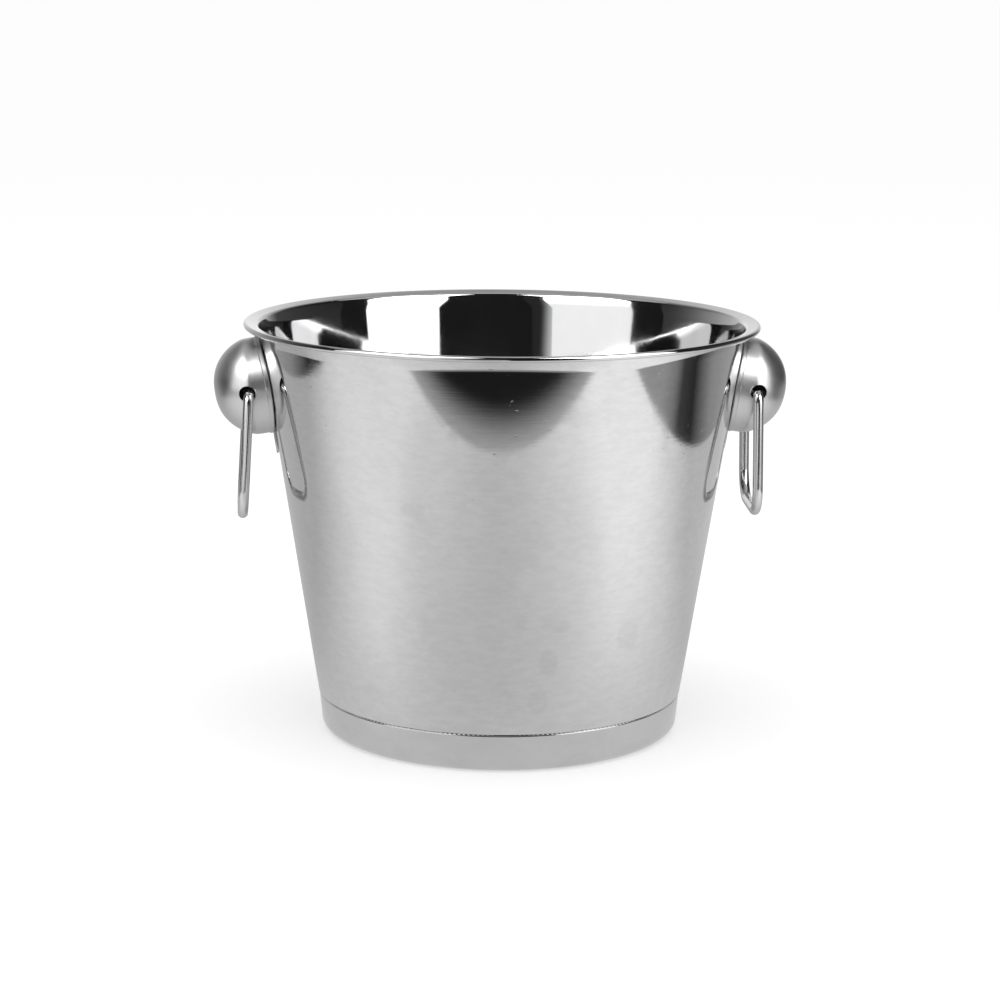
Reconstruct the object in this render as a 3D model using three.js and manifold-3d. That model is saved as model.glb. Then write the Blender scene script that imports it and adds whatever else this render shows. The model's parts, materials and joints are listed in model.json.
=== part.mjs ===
// A stainless steel champagne bucket: a tapered sheet wall with a rolled rim, a base pan tucked up
// inside the foot of the wall, and on each side a hollow handle dome on a riveted backing plate,
// with a bent wire loop that swings in two holes through the dome.
// Millimetres, +Z up. The origin is the middle of the base, and the handles are on +X and -X.
import * as THREE from "three";
import { mergeVertices } from "three/addons/utils/BufferGeometryUtils.js";
import Module from "manifold-3d";

// Overall sizes
const bucketHeight = 177.5;
const rimRadius = 110;

// Wall: one sheet, rolled to a cone and turned out into a lip with a curled edge
const wallThickness = 0.8;
const wallLean = THREE.MathUtils.degToRad(8.9); // from upright
const lipLift = THREE.MathUtils.degToRad(14); // of the lip, above level
const lipWidth = 6.55; // from where the wall's line meets the lip to the outer edge
const flareDrop = 4; // height of the flare below the lip
const flareLean = THREE.MathUtils.degToRad(17);
const flareBend = 3; // bend radius where the flare starts
const lipBend = 1.5; // and where it turns into the lip
const curlDiameter = 2.4; // outside the curled edge
const curlTurn = THREE.MathUtils.degToRad(225);

// Base pan: pressed from one sheet, its skirt joggled in so that the wall laps over it
const panThickness = 0.8;
const seamHeight = 16.8; // the wall's bottom edge
const panLean = THREE.MathUtils.degToRad(5.4);
const panCorner = 4.6;
const lapHeight = 8; // how far the skirt reaches up inside the wall
const skirtReveal = 0.4; // how far the wall stands proud of the skirt at the seam
const restRingWidth = 21; // flat ring that the pan stands on, inside the skirt's foot
const panelRise = 1.5; // of the floor's middle, above the ring
const panelStep = 4; // width and bend radius of the step between them

// Handle mount: its axis is square to the wall
const domeToRim = 6.7; // from the dome's top up to the rim's top
const plateThickness = 2.2;
const plateOverhang = 0.35; // past the dome's edge
const tongueLength = 9.5; // of the plate's tongue, below the dome
const tongueWidth = 10;
const tongueThickness = 0.8;
const domeRadius = 20.6;
const domeDepth = 22.8; // from the wall's outside to the dome's front
const domeStraight = 7; // depth of the straight part next to the wall
const domeSheet = 1;
const shoulderPower = 1.483; // the shoulder's curve along the axis
const frontPower = 2.4; // and across it

// Rivets, through the wall and the plate
const rivetSpacing = 16;
const shankRadius = 2;
const headRadius = 4;
const headHeight = 1.6;
const tailRadius = 3.1;
const tailHeight = 1.4;

// Handle loop, one bent wire
const wireRadius = 2.2;
const holeDepth = 8.5; // hinge hole's middle, along the dome's axis from the wall's outside
const holeRadius = 3.4;
const loopDrop = 51.7; // hinge axis to the middle of the wire at the bottom
const wireBend = 3.1; // where each leg turns into its hole
const loopCorner = 12;
const endInside = 5; // how far each end goes in past the dome's side
const leftLoopHang = THREE.MathUtils.degToRad(3.3); // outward from plumb
const rightLoopHang = THREE.MathUtils.degToRad(1);
const seatAngle = THREE.MathUtils.degToRad(42); // where each end rests in its hole, off the bottom

// Clearances
const seatGap = 0.3; // between pieces that sit on each other
const turnGap = 0.25; // between the wire and the hole that it rests in
const legGap = 0.3; // between the loop's legs and the dome

// Fineness
const bucketSides = 60;
const domeSides = 32;
const plateSides = 40;
const rivetSides = 14;
const wireSides = 10;
const loopSteps = 62;
const curlSteps = 6;
const shoulderSteps = 9;
const headSteps = 3;
const bendStep = THREE.MathUtils.degToRad(21); // largest turn between the points of a bend

const wasm = await Module();
wasm.setup();

// ---- Colours ----

function polishedSteel() {
  return new THREE.MeshStandardMaterial({ color: 0xc9cbcd, roughness: 0.16, metalness: 1 });
}

function plateSteel() {
  return new THREE.MeshStandardMaterial({ color: 0xa2a4a6, roughness: 0.35, metalness: 1 });
}

function rivetSteel() {
  return new THREE.MeshStandardMaterial({ color: 0xafb1b3, roughness: 0.3, metalness: 1 });
}

function brightWire() {
  return new THREE.MeshStandardMaterial({ color: 0xd6d8da, roughness: 0.1, metalness: 1 });
}

// ---- Solids ----

function solidOf(geometry) {
  const bare = geometry.clone();
  bare.deleteAttribute("normal");
  bare.deleteAttribute("uv");
  const merged = mergeVertices(bare, 1e-3);
  const mesh = new wasm.Mesh({
    numProp: 3,
    vertProperties: new Float32Array(merged.attributes.position.array),
    triVerts: new Uint32Array(merged.index.array),
  });
  return new wasm.Manifold(mesh);
}

function geometryOf(solid) {
  const mesh = solid.getMesh();
  const geometry = new THREE.BufferGeometry();
  geometry.setAttribute("position", new THREE.BufferAttribute(mesh.vertProperties, 3));
  geometry.setIndex(new THREE.BufferAttribute(mesh.triVerts, 1));
  geometry.computeVertexNormals();
  return geometry;
}

function subtractAll(geometry, cutters) {
  let solid = solidOf(geometry);
  for (const cutter of cutters) {
    solid = solid.subtract(solidOf(cutter));
  }
  return geometryOf(solid);
}

function joinAll(geometries) {
  let solid = solidOf(geometries[0]);
  for (const other of geometries.slice(1)) {
    solid = solid.add(solidOf(other));
  }
  return geometryOf(solid);
}

function intersectAll(geometry, others) {
  let solid = solidOf(geometry);
  for (const other of others) {
    solid = solid.intersect(solidOf(other));
  }
  return geometryOf(solid);
}

// ---- Outlines of turned sheets, as (radius, height) ----

function alongDirection(angle, length) {
  return new THREE.Vector2(Math.cos(angle), Math.sin(angle)).multiplyScalar(length);
}

// A path through the corners, with each inner corner rounded to its radius.
function roundedPath(corners) {
  const path = [corners[0].point];
  for (let i = 1; i < corners.length - 1; i += 1) {
    const { point, radius } = corners[i];
    const before = corners[i - 1].point.clone().sub(point).normalize();
    const after = corners[i + 1].point.clone().sub(point).normalize();
    const half = Math.acos(THREE.MathUtils.clamp(before.dot(after), -1, 1)) / 2;
    const setBack = radius / Math.tan(half);
    const centre = before.clone().add(after).normalize();
    centre.multiplyScalar(radius / Math.sin(half)).add(point);
    const start = before.multiplyScalar(setBack).add(point).sub(centre);
    const end = after.multiplyScalar(setBack).add(point).sub(centre);
    const turn = Math.atan2(start.cross(end), start.dot(end));
    const steps = Math.ceil(Math.abs(turn) / bendStep);
    for (let step = 0; step <= steps; step += 1) {
      const spoke = start.clone().rotateAround(new THREE.Vector2(), (turn * step) / steps);
      path.push(spoke.add(centre));
    }
  }
  path.push(corners[corners.length - 1].point);
  return path;
}

// The closed outline of a sheet whose middle follows the path, with mitred corners.
function sheetOutline(path, thickness) {
  const leftSide = [];
  const rightSide = [];
  path.forEach((point, i) => {
    const before = path[Math.max(i - 1, 0)];
    const after = path[Math.min(i + 1, path.length - 1)];
    const into = point.clone().sub(before).normalize();
    const out = after.clone().sub(point).normalize();
    const along = into.clone().add(out).normalize();
    const reach = thickness / 2 / Math.max(along.dot(into), along.dot(out));
    const across = new THREE.Vector2(-along.y, along.x).multiplyScalar(reach);
    leftSide.push(point.clone().add(across));
    rightSide.push(point.clone().sub(across));
  });
  const outline = [...rightSide, ...leftSide.reverse()];
  if (path[0].x > 0) {
    outline.push(outline[0].clone());
  }
  return outline;
}

// Turns an outline of (radius, height) about +Z.
function turned(outline, sides) {
  return new THREE.LatheGeometry(outline, sides).rotateX(Math.PI / 2);
}

// Turns an outline of (radius, distance) about +X.
function turnedAlongX(outline, sides) {
  return turned(outline, sides).rotateY(Math.PI / 2);
}

// ---- The bucket's outline ----

const curlRadius = (curlDiameter - wallThickness) / 2; // to the middle of the sheet
const curlCentre = new THREE.Vector2(rimRadius - curlDiameter / 2, bucketHeight - curlDiameter / 2);
const neckRadius = rimRadius - lipWidth;
const slope = Math.tan(wallLean);

// The lip's middle line, as a height at a radius
function lipHeightAt(radius) {
  const start = alongDirection(lipLift + Math.PI / 2, curlRadius).add(curlCentre);
  return start.y - (start.x - radius) * Math.tan(lipLift);
}

const neckHeight = lipHeightAt(neckRadius);
const outsideFromMiddle = wallThickness / 2 / Math.cos(wallLean); // measured level

// Radius of the wall's outer surface at a height
function wallRadiusAt(height) {
  return neckRadius - (neckHeight - height) * slope + outsideFromMiddle;
}

// The wall leans out further just below the lip.
function wallPath() {
  const foot = new THREE.Vector2(wallRadiusAt(seamHeight) - outsideFromMiddle, seamHeight);
  const flareStart = new THREE.Vector2(neckRadius - flareDrop * slope, neckHeight - flareDrop);
  const lipSlope = Math.tan(lipLift);
  const flareSlope = Math.tan(flareLean);
  const flareRise = (flareDrop * (1 - slope * lipSlope)) / (1 - flareSlope * lipSlope);
  const neck = flareStart.clone().add(new THREE.Vector2(flareRise * flareSlope, flareRise));
  const curlStart = alongDirection(lipLift + Math.PI / 2, curlRadius).add(curlCentre);
  const path = roundedPath([
    { point: foot },
    { point: flareStart, radius: flareBend },
    { point: neck, radius: lipBend },
    { point: curlStart },
  ]);
  for (let step = 1; step <= curlSteps; step += 1) {
    const angle = lipLift + Math.PI / 2 - (curlTurn * step) / curlSteps;
    path.push(alongDirection(angle, curlRadius).add(curlCentre));
  }
  return path;
}

// The skirt shows below the seam, then steps in and follows the wall's inside.
function panPath() {
  const middle = panThickness / 2;
  const skirtTopHeight = seamHeight - seatGap - panThickness;
  const skirtTopRadius = wallRadiusAt(seamHeight) - skirtReveal - middle;
  const skirtFootRadius = skirtTopRadius - (skirtTopHeight - middle) * Math.tan(panLean);
  const stepRadius = skirtFootRadius - restRingWidth;
  const lapInset = (wallThickness + seatGap + middle) / Math.cos(wallLean);
  const lapTop = seamHeight + lapHeight;
  const corners = [
    { point: new THREE.Vector2(0, middle + panelRise) },
    { point: new THREE.Vector2(stepRadius - panelStep, middle + panelRise), radius: panelStep },
    { point: new THREE.Vector2(stepRadius, middle), radius: panelStep },
    { point: new THREE.Vector2(skirtFootRadius, middle), radius: panCorner - middle },
    { point: new THREE.Vector2(skirtTopRadius, skirtTopHeight), radius: panThickness },
    { point: new THREE.Vector2(wallRadiusAt(seamHeight) - lapInset, seamHeight), radius: panThickness },
    { point: new THREE.Vector2(wallRadiusAt(lapTop) - lapInset, lapTop) },
  ];
  return roundedPath(corners);
}

// ---- Handle mount: its own frame has +X out along the dome's axis and the wall's outside at 0 ----

const mountHeight = bucketHeight - domeToRim - domeRadius; // where the axis meets the outside
const mountRadius = wallRadiusAt(mountHeight);
const mountMatrix = new THREE.Matrix4()
  .makeRotationY(wallLean)
  .setPosition(mountRadius, 0, mountHeight);
const toMount = mountMatrix.clone().invert();
const plateOuter = seatGap + plateThickness; // plate's outer face, from the wall's outside

// A solid cone, larger than the wall's outside by an offset and reaching past the mount, in the
// mount's frame.
function coneInMount(offset) {
  const grow = offset / Math.cos(wallLean);
  const low = mountHeight - 2 * domeRadius;
  const high = mountHeight + 2 * domeRadius;
  const outline = [
    new THREE.Vector2(0, low),
    new THREE.Vector2(wallRadiusAt(low) + grow, low),
    new THREE.Vector2(wallRadiusAt(high) + grow, high),
    new THREE.Vector2(0, high),
  ];
  return turned(outline, bucketSides).applyMatrix4(toMount);
}

// Cylinder along the mount's axis, between two distances from the wall
function rodAlongX(radius, start, end, sides) {
  const rod = new THREE.CylinderGeometry(radius, radius, end - start, sides);
  return rod.rotateZ(-Math.PI / 2).translate((start + end) / 2, 0, 0);
}

function rivetHoles() {
  const holes = [];
  for (const z of [-rivetSpacing / 2, rivetSpacing / 2]) {
    const reach = 2 * plateOuter;
    holes.push(rodAlongX(shankRadius + seatGap, -reach, reach, rivetSides).translate(0, 0, z));
  }
  return holes;
}

function bucketWall() {
  const wall = turned(sheetOutline(wallPath(), wallThickness), bucketSides);
  const cutters = [];
  for (const side of [0, Math.PI]) {
    for (const hole of rivetHoles()) {
      cutters.push(hole.applyMatrix4(mountMatrix).rotateZ(side));
    }
  }
  return subtractAll(wall, cutters);
}

function basePan() {
  return turned(sheetOutline(panPath(), panThickness), bucketSides);
}

// Thin round-ended strip that runs down the wall from under the plate
function plateTongue() {
  const radius = tongueWidth / 2;
  const endHeight = radius - domeRadius - tongueLength;
  const end = rodAlongX(radius, -domeRadius, domeRadius, rivetSides * 2).translate(0, 0, endHeight);
  const strip = new THREE.BoxGeometry(2 * domeRadius, tongueWidth, -endHeight);
  strip.translate(0, 0, endHeight / 2);
  return intersectAll(joinAll([strip, end]), [coneInMount(seatGap + tongueThickness)]);
}

function backingPlate() {
  const blank = rodAlongX(domeRadius + plateOverhang, -domeRadius, domeRadius, plateSides);
  const disc = intersectAll(blank, [coneInMount(plateOuter)]);
  return subtractAll(joinAll([disc, plateTongue()]), [coneInMount(seatGap), ...rivetHoles()]);
}

// Radius of a dome-shaped surface of a given size, at a distance from the wall
function domeRadiusAt(distance, radius, depth) {
  const along = Math.max(0, (distance - domeStraight) / (depth - domeStraight));
  return radius * (1 - along ** shoulderPower) ** (1 / frontPower);
}

// Outline of a solid dome, from well inside the wall to the front
function domeOutline(radius, depth) {
  const outline = [new THREE.Vector2(0, -domeRadius), new THREE.Vector2(radius, -domeRadius)];
  for (let step = 0; step <= shoulderSteps; step += 1) {
    const share = Math.sin((step / shoulderSteps) * (Math.PI / 2));
    const distance = domeStraight + (depth - domeStraight) * share;
    outline.push(new THREE.Vector2(domeRadiusAt(distance, radius, depth), distance));
  }
  return outline;
}

// Hinge hole, right through the dome along Y
function hingeHole() {
  const hole = new THREE.CylinderGeometry(holeRadius, holeRadius, 3 * domeRadius, domeSides);
  return hole.translate(holeDepth, 0, 0);
}

function handleDome() {
  const outside = turnedAlongX(domeOutline(domeRadius, domeDepth), domeSides);
  const inside = turnedAlongX(domeOutline(domeRadius - domeSheet, domeDepth - domeSheet), domeSides);
  const wallAndPlate = coneInMount(plateOuter + seatGap);
  return subtractAll(outside, [inside, wallAndPlate, hingeHole()]);
}

// Outline of a domed head from its top to its edge, its top reaching a height above its seat
function headOutline(radius, height) {
  const ball = (radius ** 2 + height ** 2) / (2 * height);
  const edge = Math.asin(radius / ball);
  const outline = [];
  for (let step = 0; step <= headSteps; step += 1) {
    const angle = (edge * step) / headSteps;
    outline.push(new THREE.Vector2(ball * Math.sin(angle), height - ball * (1 - Math.cos(angle))));
  }
  return outline;
}

// Head on the wall's inside, tail on the plate's outer face
function rivet() {
  const headSeat = -wallThickness - seatGap;
  const tailSeat = plateOuter + seatGap;
  const head = headOutline(headRadius, headHeight);
  const tail = headOutline(tailRadius, tailHeight).reverse();
  const outline = [
    ...head.map((point) => new THREE.Vector2(point.x, headSeat - point.y)),
    new THREE.Vector2(shankRadius, headSeat),
    new THREE.Vector2(shankRadius, tailSeat),
    ...tail.map((point) => new THREE.Vector2(point.x, tailSeat + point.y)),
  ];
  return turnedAlongX(outline, rivetSides);
}

// ---- Handle loop: its own frame has the hinge axis along Y and hangs down -Z ----

const legOffset = domeRadius + legGap + wireRadius;
const holePlace = new THREE.Vector3(holeDepth, 0, 0).applyMatrix4(mountMatrix);
const play = holeRadius - wireRadius - turnGap;
const hingeHeight = holePlace.z - play * Math.cos(seatAngle);
const loopSkew = Math.asin((play * Math.sin(seatAngle)) / domeRadius);

// Arc in the YZ plane, from one angle to another, angle 0 on +Y
class LoopArc extends THREE.Curve {
  constructor(y, z, radius, start, end) {
    super();
    Object.assign(this, { y, z, radius, start, end });
  }

  getPoint(t, target = new THREE.Vector3()) {
    const angle = this.start + (this.end - this.start) * t;
    return target.set(
      0,
      this.y + this.radius * Math.cos(angle),
      this.z + this.radius * Math.sin(angle),
    );
  }
}

function handleLoop() {
  const at = (y, z) => new THREE.Vector3(0, y, z);
  const quarter = Math.PI / 2;
  const endY = domeRadius - endInside;
  const bendY = legOffset - wireBend;
  const cornerY = legOffset - loopCorner;
  const cornerZ = loopCorner - loopDrop;
  const path = new THREE.CurvePath();
  path.add(new THREE.LineCurve3(at(endY, 0), at(bendY, 0)));
  path.add(new LoopArc(bendY, -wireBend, wireBend, quarter, 0));
  path.add(new THREE.LineCurve3(at(legOffset, -wireBend), at(legOffset, cornerZ)));
  path.add(new LoopArc(cornerY, cornerZ, loopCorner, 0, -quarter));
  path.add(new THREE.LineCurve3(at(cornerY, -loopDrop), at(-cornerY, -loopDrop)));
  path.add(new LoopArc(-cornerY, cornerZ, loopCorner, -quarter, -2 * quarter));
  path.add(new THREE.LineCurve3(at(-legOffset, cornerZ), at(-legOffset, -wireBend)));
  path.add(new LoopArc(-bendY, -wireBend, wireBend, 2 * quarter, quarter));
  path.add(new THREE.LineCurve3(at(-bendY, 0), at(-endY, 0)));
  const section = new THREE.Shape();
  for (let i = 0; i < wireSides; i += 1) {
    const corner = alongDirection((2 * Math.PI * i) / wireSides, wireRadius);
    if (i === 0) {
      section.moveTo(corner.x, corner.y);
    } else {
      section.lineTo(corner.x, corner.y);
    }
  }
  section.closePath();
  return new THREE.ExtrudeGeometry(section, { steps: loopSteps, extrudePath: path });
}

// ---- Assembly ----

const bucket = new THREE.Group();

function addMesh(group, name, geometry, material) {
  const mesh = new THREE.Mesh(geometry, material);
  mesh.name = name;
  group.add(mesh);
  return mesh;
}

addMesh(bucket, "bucket_wall", bucketWall(), polishedSteel());
addMesh(bucket, "base_pan", basePan(), polishedSteel());

// One side's handle, turned to its side of the bucket. Each loop hangs a little outward of plumb,
// and a little askew: its front end rests inward in its hole and its back end outward.
function addHandle(side, turnToSide, hang, skewSign) {
  const sideGroup = new THREE.Group();
  sideGroup.rotation.z = turnToSide;
  bucket.add(sideGroup);

  const mount = new THREE.Group();
  mount.position.set(mountRadius, 0, mountHeight);
  mount.rotation.y = wallLean;
  sideGroup.add(mount);
  addMesh(mount, `${side}_backing_plate`, backingPlate(), plateSteel());
  addMesh(mount, `${side}_handle_dome`, handleDome(), polishedSteel());
  addMesh(mount, `${side}_upper_rivet`, rivet(), rivetSteel()).position.z = rivetSpacing / 2;
  addMesh(mount, `${side}_lower_rivet`, rivet(), rivetSteel()).position.z = -rivetSpacing / 2;

  const skew = new THREE.Group();
  skew.position.set(holePlace.x, 0, hingeHeight);
  skew.rotation.z = skewSign * loopSkew;
  sideGroup.add(skew);
  const loop = addMesh(skew, `${side}_handle_loop`, handleLoop(), brightWire());
  loop.rotation.y = -hang;
}

addHandle("right", 0, rightLoopHang, -1);
addHandle("left", Math.PI, leftLoopHang, 1);

export default bucket;
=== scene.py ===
# A polished stainless steel champagne bucket: a tapered wall with a rolled rim, a base pan lapped
# inside the wall and seam-welded, and a hollow dome on each side that a bent wire loop swings in.
# Metres, +Z up, handles on +X and -X, seen from -Y.
import json
import math

import bmesh
import bpy
from mathutils import Matrix, Vector, noise


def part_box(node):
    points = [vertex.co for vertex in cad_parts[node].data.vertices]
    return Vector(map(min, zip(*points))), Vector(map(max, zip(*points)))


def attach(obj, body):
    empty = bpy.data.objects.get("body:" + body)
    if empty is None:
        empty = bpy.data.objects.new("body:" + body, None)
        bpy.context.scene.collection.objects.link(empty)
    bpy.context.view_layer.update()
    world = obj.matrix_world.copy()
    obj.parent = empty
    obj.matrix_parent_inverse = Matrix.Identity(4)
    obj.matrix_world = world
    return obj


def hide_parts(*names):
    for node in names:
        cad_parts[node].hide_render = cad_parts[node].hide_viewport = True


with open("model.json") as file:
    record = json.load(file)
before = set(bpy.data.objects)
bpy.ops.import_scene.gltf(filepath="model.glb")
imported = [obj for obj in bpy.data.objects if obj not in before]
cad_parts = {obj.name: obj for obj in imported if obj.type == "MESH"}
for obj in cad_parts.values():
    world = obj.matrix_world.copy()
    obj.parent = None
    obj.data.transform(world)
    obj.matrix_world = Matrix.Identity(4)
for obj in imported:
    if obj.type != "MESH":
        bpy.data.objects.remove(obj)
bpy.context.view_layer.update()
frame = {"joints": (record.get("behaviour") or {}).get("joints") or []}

MM = 0.001

# ---- Sizes, from the frame and the sheet metal's own ----

wall_low, wall_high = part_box("bucket_wall")
pan_low, pan_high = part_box("base_pan")
dome_low, dome_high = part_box("right_handle_dome")

RIM_RADIUS = wall_high.x
RIM_HEIGHT = wall_high.z
WALL_LEAN = math.radians(8.9)
SLOPE = math.tan(WALL_LEAN)
SHEET = 0.8 * MM
LIP_LIFT = math.radians(14)
LIP_WIDTH = 6.55 * MM
FLARE_DROP = 4 * MM
FLARE_LEAN = math.radians(17)
FLARE_BEND = 25 * MM  # eased, so that the flare runs into the wall without an edge
LIP_BEND = 1.5 * MM
CURL_DIAMETER = 2.4 * MM
CURL_TURN = math.radians(225)
SEAM_HEIGHT = 16.8 * MM

PAN_LEAN = math.radians(5.4)
PAN_CORNER = 4.6 * MM
LAP_TOP = pan_high.z
SKIRT_REVEAL = 0.4 * MM
SEAT_GAP = 0.3 * MM
REST_RING = 21 * MM
PANEL_RISE = 1.5 * MM
PANEL_STEP = 4 * MM

PLATE_THICKNESS = 2.2 * MM
PLATE_OVERHANG = 0.35 * MM
PLATE_FOOT_BEVEL = 0.5 * MM
PLATE_TOP_BEVEL = 0.25 * MM
TONGUE_LENGTH = 9.5 * MM
TONGUE_WIDTH = 10 * MM
TONGUE_THICKNESS = 0.8 * MM
DOME_RADIUS = dome_high.y
DOME_DEPTH = 22.8 * MM
DOME_STRAIGHT = 7 * MM
DOME_SHEET = 1 * MM
SHOULDER_POWER = 1.483
FRONT_POWER = 2.4
DOME_TO_RIM = 6.7 * MM
HOLE_DEPTH = 8.5 * MM
HOLE_RADIUS = 3.4 * MM
HOLE_ROUND = 0.75 * MM

RIVET_SPACING = 16 * MM
SHANK_RADIUS = 2 * MM
HEAD_RADIUS = 4 * MM
HEAD_HEIGHT = 1.6 * MM
TAIL_RADIUS = 3.1 * MM
TAIL_HEIGHT = 1.4 * MM

WIRE_RADIUS = 2.2 * MM
WIRE_BEND = 3.1 * MM
LEG_GAP = 0.3 * MM
LOOP_DROP = 51.7 * MM
LOOP_CORNER = 12 * MM
END_INSIDE = 5 * MM
LOOP_HANG = {"left": math.radians(3.3), "right": math.radians(1)}
OUTWARD = {"left": math.pi, "right": 0}

SEAM_NOTCHES = 249
STEPS_PER_NOTCH = 3
SEAM_BAND = 1.1 * MM
SEAM_DROP = 0.25 * MM  # the band's middle, below the wall's foot
NOTCH_REACH = 0.6  # share of the band's half width

# How many steps each round is drawn in
BUCKET_STEPS = 256
DOME_STEPS = 144
HOLE_STEPS = 64
PLATE_STEPS = 96
RIVET_STEPS = 40
WIRE_STEPS = 40
WIRE_BEND_STEPS = 14
LOOP_CORNER_STEPS = 20

# How far from a bend the points that hold it crisp stand
HOLD = 0.12 * MM


# ---- Outlines of turned sheets, as (radius, height) ----

def arc(centre, radius, start, turn, steps):
    """Points round a bend, its first and last included."""
    angles = [start + turn * i / steps for i in range(steps + 1)]
    return [
        Vector((centre.x + radius * math.cos(a), centre.y + radius * math.sin(a))) for a in angles
    ]


def rounded(corners, steps=10):
    """A path through (point, bend radius) corners, with points close by to hold each bend crisp."""
    path = [corners[0][0]]
    for (before, _), (point, radius), (after, _) in zip(corners, corners[1:], corners[2:]):
        back = (before - point).normalized()
        on = (after - point).normalized()
        half = back.angle(on) / 2
        centre = point + (back + on).normalized() * radius / math.sin(half)
        start = point + back * radius / math.tan(half) - centre
        end = point + on * radius / math.tan(half) - centre
        turn = math.atan2(start.x * end.y - start.y * end.x, start.dot(end))
        path.append(centre + start + back * HOLD)
        path += arc(centre, radius, math.atan2(start.y, start.x), turn, steps)
        path.append(centre + end + on * HOLD)
    return path + [corners[-1][0]]


def sheet_outline(path, thickness):
    """Both faces of a sheet whose middle follows the path, as one closed run of points."""
    left, right = [], []
    for i, point in enumerate(path):
        into = (point - path[max(i - 1, 0)]).normalized()
        out = (path[min(i + 1, len(path) - 1)] - point).normalized()
        along = (into + out).normalized()
        reach = thickness / 2 / max(along.dot(into), along.dot(out))
        across = Vector((-along.y, along.x)) * reach
        left.append(point + across)
        right.append(point - across)
    return right + left[::-1]


def lip_start():
    """The curl's centre and radius, and the angle at which the lip's middle line meets it."""
    radius = (CURL_DIAMETER - SHEET) / 2
    centre = Vector((RIM_RADIUS - CURL_DIAMETER / 2, RIM_HEIGHT - CURL_DIAMETER / 2))
    angle = LIP_LIFT + math.pi / 2
    return centre, radius, angle


NECK_RADIUS = RIM_RADIUS - LIP_WIDTH


def neck_height():
    centre, radius, angle = lip_start()
    x = centre.x + radius * math.cos(angle)
    z = centre.y + radius * math.sin(angle)
    return z - (x - NECK_RADIUS) * math.tan(LIP_LIFT)


NECK_HEIGHT = neck_height()


def wall_radius(height):
    """Radius of the wall's outer face at a height."""
    return NECK_RADIUS - (NECK_HEIGHT - height) * SLOPE + SHEET / 2 / math.cos(WALL_LEAN)


MOUNT_HEIGHT = RIM_HEIGHT - DOME_TO_RIM - DOME_RADIUS
MOUNT_RADIUS = wall_radius(MOUNT_HEIGHT)
MOUNT = Matrix.Translation((MOUNT_RADIUS, 0, MOUNT_HEIGHT)) @ Matrix.Rotation(WALL_LEAN, 4, "Y")


# ---- Mesh helpers ----

def turned(points, steps, closed):
    """A bmesh of an outline of (radius, height) spun about +Z."""
    bm = bmesh.new()
    verts = [bm.verts.new((p.x, 0, p.y)) for p in points]
    edges = [bm.edges.new(pair) for pair in zip(verts, verts[1:])]
    if closed:
        edges.append(bm.edges.new((verts[-1], verts[0])))
    bmesh.ops.spin(
        bm, geom=verts + edges, cent=(0, 0, 0), axis=(0, 0, 1), dvec=(0, 0, 0),
        angle=2 * math.pi, steps=steps, use_merge=True, use_normal_flip=False, use_duplicate=False,
    )
    bmesh.ops.remove_doubles(bm, verts=bm.verts, dist=1e-7)
    bmesh.ops.recalc_face_normals(bm, faces=bm.faces)
    return bm


def piece(name, bm, materials, body, replaces=(), crease=math.radians(35)):
    """Makes the bmesh a finished object that rides on a body."""
    mesh = bpy.data.meshes.new(name)
    for edge in bm.edges:
        edge.smooth = len(edge.link_faces) == 2 and edge.calc_face_angle(0) < crease
    for face in bm.faces:
        face.smooth = True
    bm.to_mesh(mesh)
    bm.free()
    for material in materials:
        mesh.materials.append(material)
    obj = bpy.data.objects.new(name, mesh)
    bpy.context.scene.collection.objects.link(obj)
    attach(obj, body)
    if replaces:
        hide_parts(*replaces)
    return obj


def cut(target, cutters):
    """Cuts each bmesh cutter out of the target bmesh, and returns the new bmesh."""
    scene = bpy.context.scene.collection
    mesh = bpy.data.meshes.new("blank")
    target.to_mesh(mesh)
    target.free()
    blank = bpy.data.objects.new("blank", mesh)
    scene.objects.link(blank)
    tools = []
    for cutter in cutters:
        tool_mesh = bpy.data.meshes.new("tool")
        cutter.to_mesh(tool_mesh)
        cutter.free()
        tool = bpy.data.objects.new("tool", tool_mesh)
        scene.objects.link(tool)
        tools.append(tool)
        step = blank.modifiers.new("cut", "BOOLEAN")
        step.operation = "DIFFERENCE"
        step.solver = "MANIFOLD"
        step.object = tool
    depsgraph = bpy.context.evaluated_depsgraph_get()
    result = bmesh.new()
    result.from_object(blank, depsgraph)
    for obj in [blank, *tools]:
        data = obj.data
        bpy.data.objects.remove(obj)
        bpy.data.meshes.remove(data)
    return result


# ---- Node helpers ----

def new_steel(name, colour, roughness):
    material = bpy.data.materials.new(name)
    material.use_nodes = True
    tree = material.node_tree
    shader = tree.nodes["Principled BSDF"]
    shader.inputs["Metallic"].default_value = 1
    shader.inputs["Base Color"].default_value = (*colour, 1)
    shader.inputs["Roughness"].default_value = roughness
    return material, tree, shader


def coordinates(tree, scale, turn=(0, 0, 0)):
    """Object coordinates, turned and stretched by a scale on each axis."""
    place = tree.nodes.new("ShaderNodeTexCoord")
    mapping = tree.nodes.new("ShaderNodeMapping")
    mapping.inputs["Scale"].default_value = scale
    mapping.inputs["Rotation"].default_value = turn
    tree.links.new(place.outputs["Object"], mapping.inputs["Vector"])
    return mapping.outputs["Vector"]


def noise_value(tree, vector, detail=3.0, rough=0.5, distortion=0.0):
    node = tree.nodes.new("ShaderNodeTexNoise")
    node.inputs["Scale"].default_value = 1
    node.inputs["Detail"].default_value = detail
    node.inputs["Roughness"].default_value = rough
    node.inputs["Distortion"].default_value = distortion
    tree.links.new(vector, node.inputs["Vector"])
    return node.outputs["Fac"]


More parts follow.
